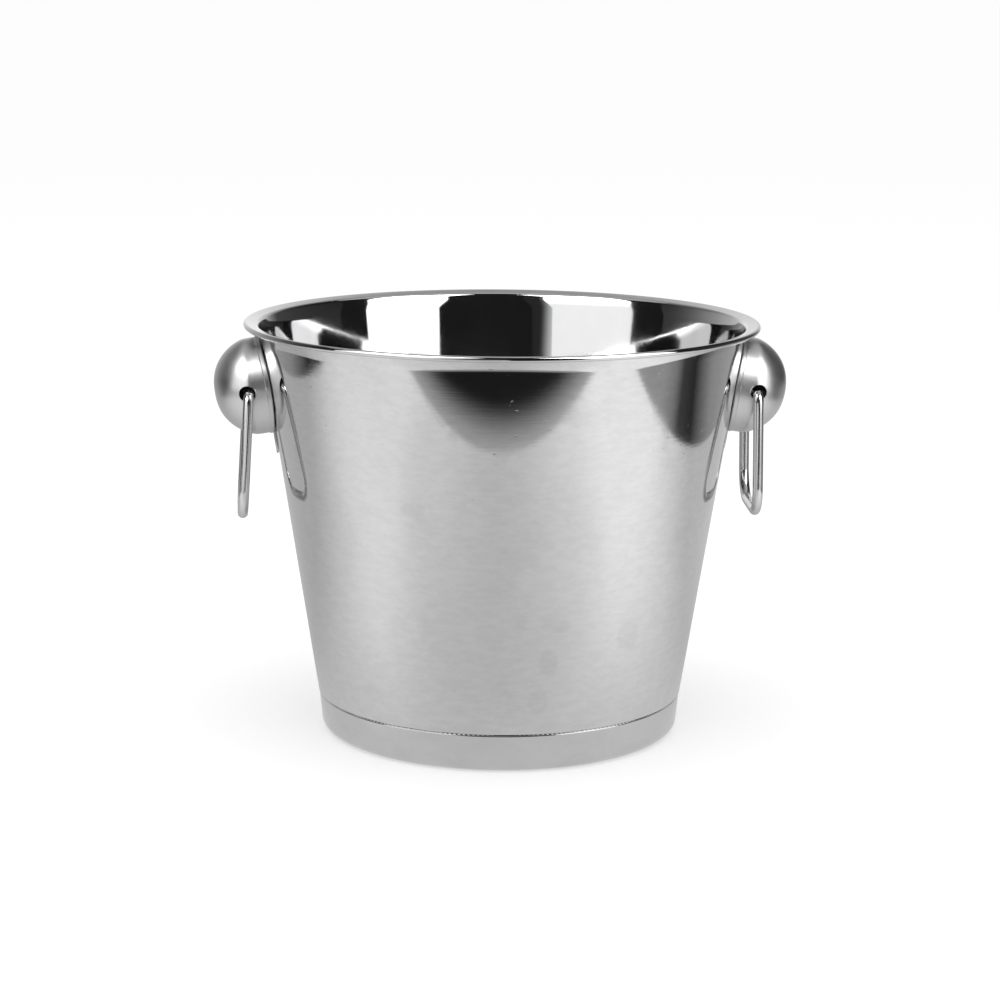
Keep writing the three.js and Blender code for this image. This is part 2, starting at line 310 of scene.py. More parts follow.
def ranged(tree, value, low, high, to_low, to_high):
    node = tree.nodes.new("ShaderNodeMapRange")
    node.interpolation_type = "SMOOTHSTEP"
    sockets = ("From Min", "From Max", "To Min", "To Max")
    for socket, number in zip(sockets, (low, high, to_low, to_high)):
        node.inputs[socket].default_value = number
    tree.links.new(value, node.inputs["Value"])
    return node.outputs["Result"]


def combine(tree, operation, first, second):
    node = tree.nodes.new("ShaderNodeMath")
    node.operation = operation
    for socket, value in zip(node.inputs, (first, second)):
        if isinstance(value, (int, float)):
            socket.default_value = value
        else:
            tree.links.new(value, socket)
    return node.outputs["Value"]


def mixed(tree, factor, first, second):
    node = tree.nodes.new("ShaderNodeMix")
    node.data_type = "RGBA"
    node.inputs["A"].default_value = (*first, 1)
    node.inputs["B"].default_value = (*second, 1)
    tree.links.new(factor, node.inputs["Factor"])
    return node.outputs["Result"]


def bumped(tree, height, distance, strength=1.0, normal=None):
    node = tree.nodes.new("ShaderNodeBump")
    node.inputs["Distance"].default_value = distance
    node.inputs["Strength"].default_value = strength
    tree.links.new(height, node.inputs["Height"])
    if normal is not None:
        tree.links.new(normal, node.inputs["Normal"])
    return node.outputs["Normal"]


# ---- Steels ----

STEEL = (0.62, 0.62, 0.625)


def smudge_and_shade_patch(tree, centre, size):
    """A soft oval patch, 1 at its middle and 0 at its edge: finger marks on the wall, and a painted
    shade on the table card.
    """
    place = tree.nodes.new("ShaderNodeTexCoord")
    mapping = tree.nodes.new("ShaderNodeMapping")
    mapping.inputs["Location"].default_value = [-c / r for c, r in zip(centre, size)]
    mapping.inputs["Scale"].default_value = [1 / r for r in size]
    tree.links.new(place.outputs["Object"], mapping.inputs["Vector"])
    oval = tree.nodes.new("ShaderNodeTexGradient")
    oval.gradient_type = "SPHERICAL"
    tree.links.new(mapping.outputs["Vector"], oval.inputs["Vector"])
    return ranged(tree, oval.outputs["Fac"], 0.0, 0.35, 0, 1)


# Middle and half size of each finger mark on the front of the wall, in metres
FINGER_MARKS = [
    ((0.0143, -0.0827, 0.048), (0.0046, 0.02, 0.0075)),
    ((0.0101, -0.0807, 0.031), (0.0052, 0.02, 0.0065)),
    ((0.0170, -0.0845, 0.064), (0.0075, 0.02, 0.0040)),
    ((0.0480, -0.0720, 0.056), (0.0060, 0.02, 0.0080)),
    ((-0.0410, -0.0830, 0.112), (0.0060, 0.02, 0.0040)),
]


def polished_outside():
    material, tree, shader = new_steel("polished_outside", STEEL, 0.05)
    smudge = noise_value(tree, coordinates(tree, (38, 38, 30)), detail=5, rough=0.6, distortion=0.8)
    marks = ranged(tree, smudge, 0.5, 0.68, 0, 0.55)
    for centre, size in FINGER_MARKS:
        marks = combine(tree, "MAXIMUM", marks, smudge_and_shade_patch(tree, centre, size))
    haze = noise_value(tree, coordinates(tree, (13, 13, 6)), detail=2)
    cloudy = ranged(tree, haze, 0.35, 0.65, 0, 1)
    fine = noise_value(tree, coordinates(tree, (160, 160, 420)), detail=4, rough=0.65)
    base = ranged(tree, fine, 0.3, 0.7, 0.58, 0.625)
    tone = combine(tree, "ADD", base, combine(tree, "MULTIPLY", cloudy, 0.045))
    tone = combine(tree, "SUBTRACT", tone, combine(tree, "MULTIPLY", marks, 0.035))
    colour = tree.nodes.new("ShaderNodeCombineColor")
    for channel in ("Red", "Green", "Blue"):
        tree.links.new(tone, colour.inputs[channel])
    tree.links.new(colour.outputs["Color"], shader.inputs["Base Color"])
    marked = combine(tree, "MULTIPLY", marks, 0.07)
    rough = combine(tree, "ADD", marked, ranged(tree, haze, 0.3, 0.7, 0.035, 0.065))
    tree.links.new(rough, shader.inputs["Roughness"])
    wave = noise_value(tree, coordinates(tree, (36, 36, 11)), detail=1)
    grain = noise_value(tree, coordinates(tree, (26, 26, 1300)), detail=3, rough=0.7)
    speck = noise_value(tree, coordinates(tree, (520, 520, 520)), detail=0)
    pits = ranged(tree, speck, 0.81, 0.86, 1, 0)
    normal = bumped(tree, wave, 0.05 * MM)
    normal = bumped(tree, grain, 0.0025 * MM, normal=normal)
    normal = bumped(tree, pits, 0.012 * MM, normal=normal)
    tree.links.new(normal, shader.inputs["Normal"])
    return material


def brushed_inside():
    material, tree, shader = new_steel("brushed_inside", STEEL, 0.05)
    streak = noise_value(tree, coordinates(tree, (14, 14, 1900)), detail=3, rough=0.7)
    cloud = noise_value(tree, coordinates(tree, (45, 45, 30)), detail=4, rough=0.6)
    colour = mixed(tree, cloud, (0.56, 0.56, 0.565), (0.66, 0.66, 0.665))
    tree.links.new(colour, shader.inputs["Base Color"])
    tree.links.new(ranged(tree, cloud, 0.3, 0.7, 0.03, 0.08), shader.inputs["Roughness"])
    dents = noise_value(tree, coordinates(tree, (34, 34, 9)), detail=2)
    normal = bumped(tree, dents, 0.11 * MM)
    normal = bumped(tree, streak, 0.0015 * MM, normal=normal)
    tree.links.new(normal, shader.inputs["Normal"])
    return material


def pressed_pan():
    material, tree, shader = new_steel("pressed_pan", STEEL, 0.09)
    streak = noise_value(tree, coordinates(tree, (30, 30, 1500)), detail=3, rough=0.7)
    cloud = noise_value(tree, coordinates(tree, (40, 40, 60)), detail=4, rough=0.6, distortion=0.5)
    colour = mixed(tree, cloud, (0.52, 0.52, 0.525), (0.67, 0.67, 0.675))
    tree.links.new(colour, shader.inputs["Base Color"])
    tree.links.new(ranged(tree, cloud, 0.3, 0.7, 0.13, 0.07), shader.inputs["Roughness"])
    tree.links.new(bumped(tree, streak, 0.003 * MM), shader.inputs["Normal"])
    return material


def satin(name, tone, low, high):
    """Steel finished with a fine abrasive: a grainy surface with a wide, soft shine."""
    material, tree, shader = new_steel(name, (tone, tone, tone), low)
    grain = noise_value(tree, coordinates(tree, (1900, 1900, 1900)), detail=4, rough=0.75)
    cloud = noise_value(tree, coordinates(tree, (70, 70, 70)), detail=4, rough=0.6)
    dark, light = tone - 0.07, tone + 0.04
    colour = mixed(tree, cloud, (dark, dark, dark), (light, light, light))
    tree.links.new(colour, shader.inputs["Base Color"])
    tree.links.new(ranged(tree, cloud, 0.3, 0.7, low, high), shader.inputs["Roughness"])
    wave = noise_value(tree, coordinates(tree, (120, 120, 120)), detail=1)
    normal = bumped(tree, wave, 0.03 * MM)
    tree.links.new(bumped(tree, grain, 0.016 * MM, normal=normal), shader.inputs["Normal"])
    return material


def notch_shade_steel():
    # Near-black rough steel for the notch bottoms of the seam: painted shade, unevenly dark in
    # patches.
    material, tree, shader = new_steel("notch_shade_steel", (0.12, 0.12, 0.12), 0.5)
    shade_blotch = noise_value(tree, coordinates(tree, (70, 70, 70)), detail=3)
    tree.links.new(
        mixed(tree, ranged(tree, shade_blotch, 0.35, 0.65, 0, 1), (0.03, 0.03, 0.03), (0.3, 0.3, 0.3)),
        shader.inputs["Base Color"],
    )
    scale = noise_value(tree, coordinates(tree, (1800, 1800, 1800)), detail=3)
    tree.links.new(ranged(tree, scale, 0.3, 0.7, 0.4, 0.6), shader.inputs["Roughness"])
    tree.links.new(bumped(tree, scale, 0.04 * MM), shader.inputs["Normal"])
    return material


def bright_wire():
    material, tree, shader = new_steel("bright_wire", (0.66, 0.66, 0.665), 0.18)
    drawn = noise_value(tree, coordinates(tree, (2500, 2500, 60)), detail=2)
    cloud = noise_value(tree, coordinates(tree, (90, 90, 90)), detail=3)
    colour = mixed(tree, cloud, (0.6, 0.6, 0.605), (0.7, 0.7, 0.705))
    tree.links.new(colour, shader.inputs["Base Color"])
    tree.links.new(ranged(tree, cloud, 0.3, 0.7, 0.13, 0.22), shader.inputs["Roughness"])
    tree.links.new(bumped(tree, drawn, 0.003 * MM), shader.inputs["Normal"])
    return material


OUTSIDE = polished_outside()
INSIDE = brushed_inside()
PAN = pressed_pan()
DOME = satin("satin_dome", 0.62, 0.3, 0.36)
PLATE = satin("satin_plate", 0.58, 0.28, 0.36)
RIVET = satin("peened_rivet", 0.58, 0.18, 0.28)
NOTCH_SHADE = notch_shade_steel()
WIRE = bright_wire()


# ---- Bucket wall and base pan ----

def rows_between(low, high, count):
    return [low.lerp(high, i / count) for i in range(1, count)]


def wall_path():
    centre, radius, angle = lip_start()
    middle = SHEET / 2 / math.cos(WALL_LEAN)
    foot = Vector((wall_radius(SEAM_HEIGHT) - middle, SEAM_HEIGHT))
    flare = Vector((NECK_RADIUS - FLARE_DROP * SLOPE, NECK_HEIGHT - FLARE_DROP))
    lip_slope, flare_slope = math.tan(LIP_LIFT), math.tan(FLARE_LEAN)
    rise = FLARE_DROP * (1 - SLOPE * lip_slope) / (1 - flare_slope * lip_slope)
    neck = flare + Vector((rise * flare_slope, rise))
    curl_start = centre + Vector((math.cos(angle), math.sin(angle))) * radius
    bend = rounded([(foot, 0), (flare, FLARE_BEND), (neck, LIP_BEND), (curl_start, 0)], steps=8)
    curl = arc(centre, radius, angle, -CURL_TURN, 20)
    return [bend[0], *rows_between(bend[0], bend[1], 24), *bend[1:-1], *curl]


def pan_path():
    middle = SHEET / 2
    top_height = SEAM_HEIGHT - SEAT_GAP - SHEET
    top_radius = wall_radius(SEAM_HEIGHT) - SKIRT_REVEAL - middle
    foot_radius = top_radius - (top_height - middle) * math.tan(PAN_LEAN)
    step_radius = foot_radius - REST_RING
    lap_inset = (SHEET + SEAT_GAP + middle) / math.cos(WALL_LEAN)
    return rounded([
        (Vector((0, middle + PANEL_RISE)), 0),
        (Vector((step_radius - PANEL_STEP, middle + PANEL_RISE)), PANEL_STEP),
        (Vector((step_radius, middle)), PANEL_STEP),
        (Vector((foot_radius, middle)), PAN_CORNER - middle),
        (Vector((top_radius, top_height)), SHEET),
        (Vector((wall_radius(SEAM_HEIGHT) - lap_inset, SEAM_HEIGHT)), SHEET),
        (Vector((wall_radius(LAP_TOP) - lap_inset, LAP_TOP)), 0),
    ])


def looks_inward(face):
    """Whether a face of a turned sheet looks towards its axis."""
    middle = face.calc_center_median()
    return face.normal.dot(Vector((middle.x, middle.y, 0))) < 0


def make_wall():
    bm = turned(sheet_outline(wall_path(), SHEET), BUCKET_STEPS, closed=True)
    for face in bm.faces:
        below_lip = face.calc_center_median().z < NECK_HEIGHT - LIP_BEND / 2
        face.material_index = 1 if looks_inward(face) and below_lip else 0
    holes = [rivet_hole(side, z) for side in OUTWARD for z in (-1, 1)]
    return piece(
        "wall_sheet", cut(bm, holes), [OUTSIDE, INSIDE], "bucket", ["bucket_wall"],
    )


def make_pan():
    bm = turned(sheet_outline(pan_path(), SHEET), BUCKET_STEPS, closed=False)
    for face in bm.faces:
        above_foot = face.calc_center_median().z > SHEET
        if face.normal.z > 0.5 or (looks_inward(face) and above_foot):
            face.material_index = 1
    piece("pressed_base", bm, [PAN, INSIDE], "bucket", ["base_pan"])


def make_seam():
    """The seam weld: a narrow band round the foot of the wall, rolled with a row of notches whose
    bottoms carry painted shade.
    """
    half = SEAM_BAND / 2
    top = wall_radius(SEAM_HEIGHT) - 0.05 * MM
    low = wall_radius(SEAM_HEIGHT) - SKIRT_REVEAL
    lean = (top - low) / SEAM_BAND
    outline = []
    for share, proud in ((-1.0, -0.6), (-1.0, 0.0), (-0.75, 0.06), (-0.45, 0.0), (0.0, 0.0),
                         (0.45, 0.0), (0.75, 0.06), (1.0, 0.0), (1.0, -0.6)):
        radius = low + lean * half * (share + 1) + proud * MM
        outline.append(Vector((radius, SEAM_HEIGHT - SEAM_DROP + share * half)))
    steps = STEPS_PER_NOTCH * SEAM_NOTCHES
    bm = turned(outline, steps, closed=True)
    bm.verts.ensure_lookup_table()
    for vert in bm.verts:
        across = abs(vert.co.z - SEAM_HEIGHT + SEAM_DROP) / half
        step = round(math.atan2(vert.co.y, vert.co.x) / (2 * math.pi) * steps)
        radius = math.hypot(vert.co.x, vert.co.y)
        if across < NOTCH_REACH and step % STEPS_PER_NOTCH and radius > low - 0.2 * MM:
            deep = 0.35 + 0.3 * noise.noise(vert.co * 90)
            vert.co.xy *= 1 - deep * MM / radius
    # The notch faces take the near-black steel: painted shade in the notches.
    for face in bm.faces:
        middle = face.calc_center_median()
        across = abs(middle.z - SEAM_HEIGHT + SEAM_DROP) / half
        in_notch = across < NOTCH_REACH and middle.xy.length < (top + low) / 2 - 0.12 * MM
        face.material_index = 1 if in_notch else 0
    piece("seam_weld", bm, [PAN, NOTCH_SHADE], "bucket", crease=math.radians(60))


# ---- Handle mounts: their own frame has +X out from the wall ----

def turn_to(side):
    return Matrix.Rotation(OUTWARD[side], 4, "Z")


def along_x(bm):
    bmesh.ops.transform(bm, matrix=Matrix.Rotation(math.pi / 2, 4, "Y"), verts=bm.verts)
    return bm


def set_in_mount(bm, side):
    bmesh.ops.transform(bm, matrix=turn_to(side) @ MOUNT, verts=bm.verts)
    return bm


def wall_distance(y, z):
    """How far the wall's outer face lies along the mount's axis, at a place off that axis."""
    radius = MOUNT_RADIUS + z * math.sin(WALL_LEAN)
    c, s = math.cos(WALL_LEAN), math.sin(WALL_LEAN)
    square = c * c - (s * s / c) ** 2
    return (math.sqrt((radius / c) ** 2 - square * y * y) - radius / c) / square


def rivet_hole(side, sign):
    radius = SHANK_RADIUS + SEAT_GAP
    bm = bmesh.new()
    bmesh.ops.create_cone(
        bm, cap_ends=True, segments=32, radius1=radius, radius2=radius, depth=4 * PLATE_THICKNESS,
    )
    along_x(bm)
    bmesh.ops.translate(bm, vec=(0, 0, sign * RIVET_SPACING / 2), verts=bm.verts)
    return set_in_mount(bm, side)


def dome_radius_at(distance, radius, depth):
    along = max(0, (distance - DOME_STRAIGHT) / (depth - DOME_STRAIGHT))
    return radius * max(0, 1 - along ** SHOULDER_POWER) ** (1 / FRONT_POWER)


def dome_curve(radius, depth, steps):
    """From the dome's foot to the middle of its front, as (radius, distance)."""
    straight = 12
    curve = [Vector((radius, DOME_STRAIGHT * i / straight)) for i in range(straight)]
    for i in range(steps + 1):
        distance = DOME_STRAIGHT + (depth - DOME_STRAIGHT) * math.sin(i / steps * math.pi / 2)
        curve.append(Vector((dome_radius_at(distance, radius, depth), distance)))
    return curve


def fit_foot(bm, lift):
    """Shapes the foot of what stands on the mount to the wall's curve, lifted off the wall."""
    for vert in bm.verts:
        share = 1 - vert.co.x / DOME_STRAIGHT
        if share > 0:
            vert.co.x += share * (wall_distance(vert.co.y, vert.co.z) + lift)


def hole_cutter():
    """A rod along Y through the dome, flared where it leaves it to round the hole's edge."""
    wide = HOLE_RADIUS + HOLE_ROUND
    end = 1.2 * DOME_RADIUS
    flare = [Vector((HOLE_RADIUS, 0))]
    flare += arc(Vector((wide, DOME_RADIUS - HOLE_ROUND)), HOLE_ROUND, math.pi, -math.pi / 2, 8)
    flare += [Vector((wide, end)), Vector((0, end))]
    mirrored = [Vector((p.x, -p.y)) for p in flare[1:]]
    bm = turned(mirrored[::-1] + flare[1:], HOLE_STEPS, closed=False)
    bmesh.ops.transform(bm, matrix=Matrix.Rotation(-math.pi / 2, 4, "X"), verts=bm.verts)
    for vert in bm.verts:
        if abs(vert.co.y) < 1.1 * DOME_RADIUS:
            around = dome_radius_at(HOLE_DEPTH + vert.co.x, DOME_RADIUS, DOME_DEPTH)
            surface = math.sqrt(around ** 2 - vert.co.z ** 2)
            vert.co.y += math.copysign(surface - DOME_RADIUS, vert.co.y)
    bmesh.ops.translate(bm, vec=(HOLE_DEPTH, 0, 0), verts=bm.verts)
    return bm


def make_dome(side):
    outer = dome_curve(DOME_RADIUS, DOME_DEPTH, 44)
    inner = dome_curve(DOME_RADIUS - DOME_SHEET, DOME_DEPTH - DOME_SHEET, 24)
    bm = turned(outer[::-1] + inner, DOME_STEPS, closed=False)
    along_x(bm)
    fit_foot(bm, SEAT_GAP + PLATE_THICKNESS)
    bm = cut(bm, [hole_cutter()])
    set_in_mount(bm, side)
    piece(
        f"{side}_dome_shell", bm, [DOME], "bucket", [f"{side}_handle_dome"],
        crease=math.radians(45),
    )


def make_tongue(side):
    """A thin round-ended strip that runs down the wall from under the plate."""
    half = TONGUE_WIDTH / 2
    bm = bmesh.new()
    bmesh.ops.create_grid(bm, x_segments=24, y_segments=40, size=0.5)
    top = -0.9 * DOME_RADIUS  # hidden behind the plate
    end = -DOME_RADIUS - TONGUE_LENGTH
    for vert in bm.verts:
        across, down = 2 * vert.co.x, vert.co.y + 0.5
        foot = end + half * (1 - math.sqrt(max(0, 1 - across ** 2)))
        vert.co = (0, half * across, foot + (top - foot) * down)
    sheet = bm.faces[:]
    bmesh.ops.recalc_face_normals(bm, faces=sheet)
    grown = bmesh.ops.extrude_face_region(bm, geom=sheet)["geom"]
    moved = [part for part in grown if isinstance(part, bmesh.types.BMVert)]
    bmesh.ops.translate(bm, vec=(TONGUE_THICKNESS, 0, 0), verts=moved)
    bmesh.ops.recalc_face_normals(bm, faces=bm.faces)
    for vert in bm.verts:
        vert.co.x += wall_distance(vert.co.y, vert.co.z) + SEAT_GAP
    set_in_mount(bm, side)
    piece(f"{side}_plate_tongue", bm, [PLATE], "bucket", [f"{side}_backing_plate"])


def make_plate(side):
    radius = DOME_RADIUS + PLATE_OVERHANG
    rows = (0, radius * 0.4, radius * 0.8)
    outline = [Vector((row, 0)) for row in rows]
    outline += [
        Vector((radius - PLATE_FOOT_BEVEL, 0)),
        Vector((radius, PLATE_FOOT_BEVEL)),
        Vector((radius, PLATE_THICKNESS - PLATE_TOP_BEVEL)),
        Vector((radius - PLATE_TOP_BEVEL, PLATE_THICKNESS)),
    ]
    outline += [Vector((row, PLATE_THICKNESS)) for row in rows[::-1]]
    bm = turned(outline, PLATE_STEPS, closed=False)
    along_x(bm)
    for vert in bm.verts:
        vert.co.x += wall_distance(vert.co.y, vert.co.z) + SEAT_GAP
    set_in_mount(bm, side)
    holes = [rivet_hole(side, z) for z in (-1, 1)]
    bm = cut(bm, holes)
    piece(f"{side}_plate", bm, [PLATE], "bucket", [f"{side}_backing_plate"])


def head_curve(radius, height, steps=8):
    ball = (radius ** 2 + height ** 2) / (2 * height)
    edge = math.asin(radius / ball)
    angles = [edge * i / steps for i in range(steps + 1)]
    return [Vector((ball * math.sin(a), height - ball * (1 - math.cos(a)))) for a in angles]


def make_rivet(side, name, sign):
    head_seat = -SHEET - SEAT_GAP
    tail_seat = 2 * SEAT_GAP + PLATE_THICKNESS
    head = [Vector((p.x, head_seat - p.y)) for p in head_curve(HEAD_RADIUS, HEAD_HEIGHT)]
    tail = [Vector((p.x, tail_seat + p.y)) for p in head_curve(TAIL_RADIUS, TAIL_HEIGHT)]
    shank = [Vector((SHANK_RADIUS, head_seat)), Vector((SHANK_RADIUS, tail_seat))]
    bm = turned(head + shank + tail[::-1], RIVET_STEPS, closed=False)
    along_x(bm)
    bmesh.ops.translate(bm, vec=(0, 0, sign * RIVET_SPACING / 2), verts=bm.verts)
    set_in_mount(bm, side)
    rivet = f"{side}_{name}_rivet"
    piece(f"{rivet}_smooth", bm, [RIVET], "bucket", [rivet])


# ---- Handle loops: bent from one wire, in a frame with the hinge along Y, hanging down -Z ----

def bend_wire(bm, ring, centre, turn, steps):
    """Carries the wire's end ring round a bend about X."""
    made = bmesh.ops.spin(
        bm, geom=ring, cent=centre, axis=(1, 0, 0), dvec=(0, 0, 0), angle=turn, steps=steps,
        use_merge=False, use_normal_flip=False, use_duplicate=False,
    )
    return made["geom_last"]


def pull_wire(bm, ring, vector, steps):
    """Carries the wire's end ring straight on."""
    for _ in range(steps):
        edges = [e for e in ring if isinstance(e, bmesh.types.BMEdge)]
        made = bmesh.ops.extrude_edge_only(bm, edges=edges)["geom"]
        ring = [e for e in made if not isinstance(e, bmesh.types.BMFace)]
        verts = [v for v in ring if isinstance(v, bmesh.types.BMVert)]
        edges = [e for e in ring if isinstance(e, bmesh.types.BMEdge)]
        ring = verts + [e for e in edges if all(v in verts for v in e.verts)]
        bmesh.ops.translate(bm, vec=Vector(vector) / steps, verts=verts)
    return ring


def make_loop(side):
    leg = DOME_RADIUS + LEG_GAP + WIRE_RADIUS
    end_y = DOME_RADIUS - END_INSIDE
    bend_y = leg - WIRE_BEND
    corner_y = leg - LOOP_CORNER
    low_corner = LOOP_CORNER - LOOP_DROP
    leg_run = LOOP_DROP - WIRE_BEND - LOOP_CORNER
    quarter = math.pi / 2
    bm = bmesh.new()
    made = bmesh.ops.create_circle(bm, cap_ends=False, segments=WIRE_STEPS, radius=WIRE_RADIUS)
    turn = Matrix.Translation((0, end_y, 0)) @ Matrix.Rotation(quarter, 4, "X")
    bmesh.ops.transform(bm, matrix=turn, verts=made["verts"])
    ring = made["verts"] + list(bm.edges)
    ring = pull_wire(bm, ring, (0, bend_y - end_y, 0), 4)
    ring = bend_wire(bm, ring, (0, bend_y, -WIRE_BEND), -quarter, WIRE_BEND_STEPS)
    ring = pull_wire(bm, ring, (0, 0, -leg_run), 6)
    ring = bend_wire(bm, ring, (0, corner_y, low_corner), -quarter, LOOP_CORNER_STEPS)
    ring = pull_wire(bm, ring, (0, -2 * corner_y, 0), 4)
    ring = bend_wire(bm, ring, (0, -corner_y, low_corner), -quarter, LOOP_CORNER_STEPS)
    ring = pull_wire(bm, ring, (0, 0, leg_run), 6)
    ring = bend_wire(bm, ring, (0, -bend_y, -WIRE_BEND), -quarter, WIRE_BEND_STEPS)
    pull_wire(bm, ring, (0, bend_y - end_y, 0), 4)
    bmesh.ops.remove_doubles(bm, verts=bm.verts, dist=1e-7)
    bmesh.ops.holes_fill(bm, edges=[e for e in bm.edges if e.is_boundary], sides=0)
    bmesh.ops.recalc_face_normals(bm, faces=bm.faces)
    joint = next(j for j in frame["joints"] if j["child"] == f"{side}_loop")
    hinge = Vector(joint["pos_m"])
    skew = math.atan2(joint["axis"][1], joint["axis"][0]) - math.copysign(quarter, joint["axis"][1])
    place = Matrix.Translation(hinge) @ Matrix.Rotation(skew, 4, "Z") @ turn_to(side)
    hang = Matrix.Rotation(-LOOP_HANG[side], 4, "Y")
    bmesh.ops.transform(bm, matrix=place @ hang, verts=bm.verts)
    piece(
        f"{side}_wire_loop", bm, [WIRE], f"{side}_loop", [f"{side}_handle_loop"],
        crease=math.radians(50),
    )


make_wall()
make_pan()
make_seam()
for side in OUTWARD:
    make_dome(side)
    make_plate(side)
    make_tongue(side)
    make_rivet(side, "upper", 1)
    make_rivet(side, "lower", -1)
    make_loop(side)


# ---- Studio: a pale floor, soft light and the camera ----
# The studio's own frame has the camera straight on, and the bucket stands a little turned in it.

STUDIO = Matrix.Rotation(math.radians(-4), 4, "Z")
LEVEL = 0.1 * MM
BENCH_LEVEL = LEVEL - 4 * MM
BOX_REACH = 0.85
BOX_LOW, BOX_HIGH = 0.05, 1.55
CARD_GRID = (24, 6)


def stage_mesh(name, bm, material):
    mesh = bpy.data.meshes.new(name)
    bm.to_mesh(mesh)
    bm.free()
    mesh.materials.append(material)
    obj = bpy.data.objects.new(name, mesh)
    bpy.context.scene.collection.objects.link(obj)
    obj.matrix_world = STUDIO
    return obj


def reflected_only(obj):
    """Leaves an object to be seen in the steel alone."""
    obj.visible_camera = False
    obj.visible_diffuse = False
    obj.visible_shadow = False
    obj.visible_transmission = False
    obj.visible_volume_scatter = False


def glowing(name, strength):
    material = bpy.data.materials.new(name)
    material.use_nodes = True
    tree = material.node_tree
    tree.nodes.remove(tree.nodes["Principled BSDF"])
    glow = tree.nodes.new("ShaderNodeEmission")
    glow.inputs["Strength"].default_value = strength
    tree.links.new(glow.outputs["Emission"], tree.nodes["Material Output"].inputs["Surface"])
    return material, tree, glow


def along(tree, axis):
    """The object coordinate along one axis, in metres."""
    place = tree.nodes.new("ShaderNodeTexCoord")
    split = tree.nodes.new("ShaderNodeSeparateXYZ")
    tree.links.new(place.outputs["Object"], split.inputs["Vector"])
    return split.outputs[axis]


def turn_of(tree):
    """The turn from straight behind the bucket, in radians."""
    return combine(tree, "ARCTAN2", along(tree, "X"), along(tree, "Y"))


def stepped(tree, value, stops):
    """A brightness that runs straight between (value, brightness) stops."""
    low, high = stops[0][0], stops[-1][0]
    ramp = tree.nodes.new("ShaderNodeValToRGB")
    elements = ramp.color_ramp.elements
    while len(elements) < len(stops):
        elements.new(0.5)
    for element, (place, brightness) in zip(elements, stops):
        element.position = (place - low) / (high - low)
        element.color = (brightness, brightness, brightness, 1)
    tree.links.new(ranged(tree, value, low, high, 0, 1), ramp.inputs["Fac"])
    return ramp.outputs["Color"]


def make_floor():
    """A lit white table: it glows a little, so its shadows stay pale."""
    material = bpy.data.materials.new("pale_floor")
    material.use_nodes = True
    shader = material.node_tree.nodes["Principled BSDF"]
    shader.inputs["Base Color"].default_value = (0.5, 0.5, 0.5, 1)
    shader.inputs["Roughness"].default_value = 1
    shader.inputs["Specular IOR Level"].default_value = 0
    shader.inputs["Emission Color"].default_value = (1, 1, 1, 1)
    shader.inputs["Emission Strength"].default_value = 0.48
    bm = bmesh.new()
    bmesh.ops.create_circle(bm, cap_ends=True, segments=96, radius=60)
    floor = stage_mesh("pale_floor", bm, material)
    floor.visible_glossy = False


def flat_card(name, low, high, level, material):
    """A level card between two corners, seen in the steel alone."""
    bm = bmesh.new()
    bmesh.ops.create_grid(bm, x_segments=1, y_segments=1, size=0.5)
    middle = (Vector(low) + Vector(high)) / 2
    size = Vector(high) - Vector(low)
    bmesh.ops.scale(bm, vec=(size.x, size.y, 1), verts=bm.verts)
    bmesh.ops.translate(bm, vec=(middle.x, middle.y, level), verts=bm.verts)
    reflected_only(stage_mesh(name, bm, material))


def curved_card(name, low_turns, high_turns, reach, low, high, material):
    """An upright card bent round the bucket, between two pairs of turns from straight behind it."""
    bm = bmesh.new()
    bmesh.ops.create_grid(bm, x_segments=CARD_GRID[0], y_segments=CARD_GRID[1], size=0.5)
    for vert in bm.verts:
        side, height = vert.co.x + 0.5, vert.co.y + 0.5
        low_turn = low_turns[0] + (low_turns[1] - low_turns[0]) * side
        high_turn = high_turns[0] + (high_turns[1] - high_turns[0]) * side
        turn = math.radians(low_turn + (high_turn - low_turn) * height)
        vert.co = (reach * math.sin(turn), reach * math.cos(turn), low + (high - low) * height)
    reflected_only(stage_mesh(name, bm, material))


def glowing_by_height(name, low, high, low_strength, high_strength):
    material, tree, glow = glowing(name, 1)
    strength = ranged(tree, along(tree, "Z"), low, high, low_strength, high_strength)
    tree.links.new(strength, glow.inputs["Strength"])
    return material


# Brightness of the backdrop by its turn from straight behind the bucket
BACKDROP = [
    (-90, 0.06), (-75, 0.3), (-60, 0.47), (-45, 0.6), (-30, 0.74), (-12, 1.0),
    (0, 0.95), (15, 0.78), (30, 0.65), (42, 0.28), (52, 0.08), (90, 0.04),
]

# Brightness of the bench beside the table by its distance behind the bucket
BENCH = [
    (-0.34, 0.4), (-0.2, 0.38), (-0.12, 0.25), (-0.06, 0.06),
    (0.06, 0.03), (0.16, 0.16), (0.3, 0.33), (0.6, 0.45),
]


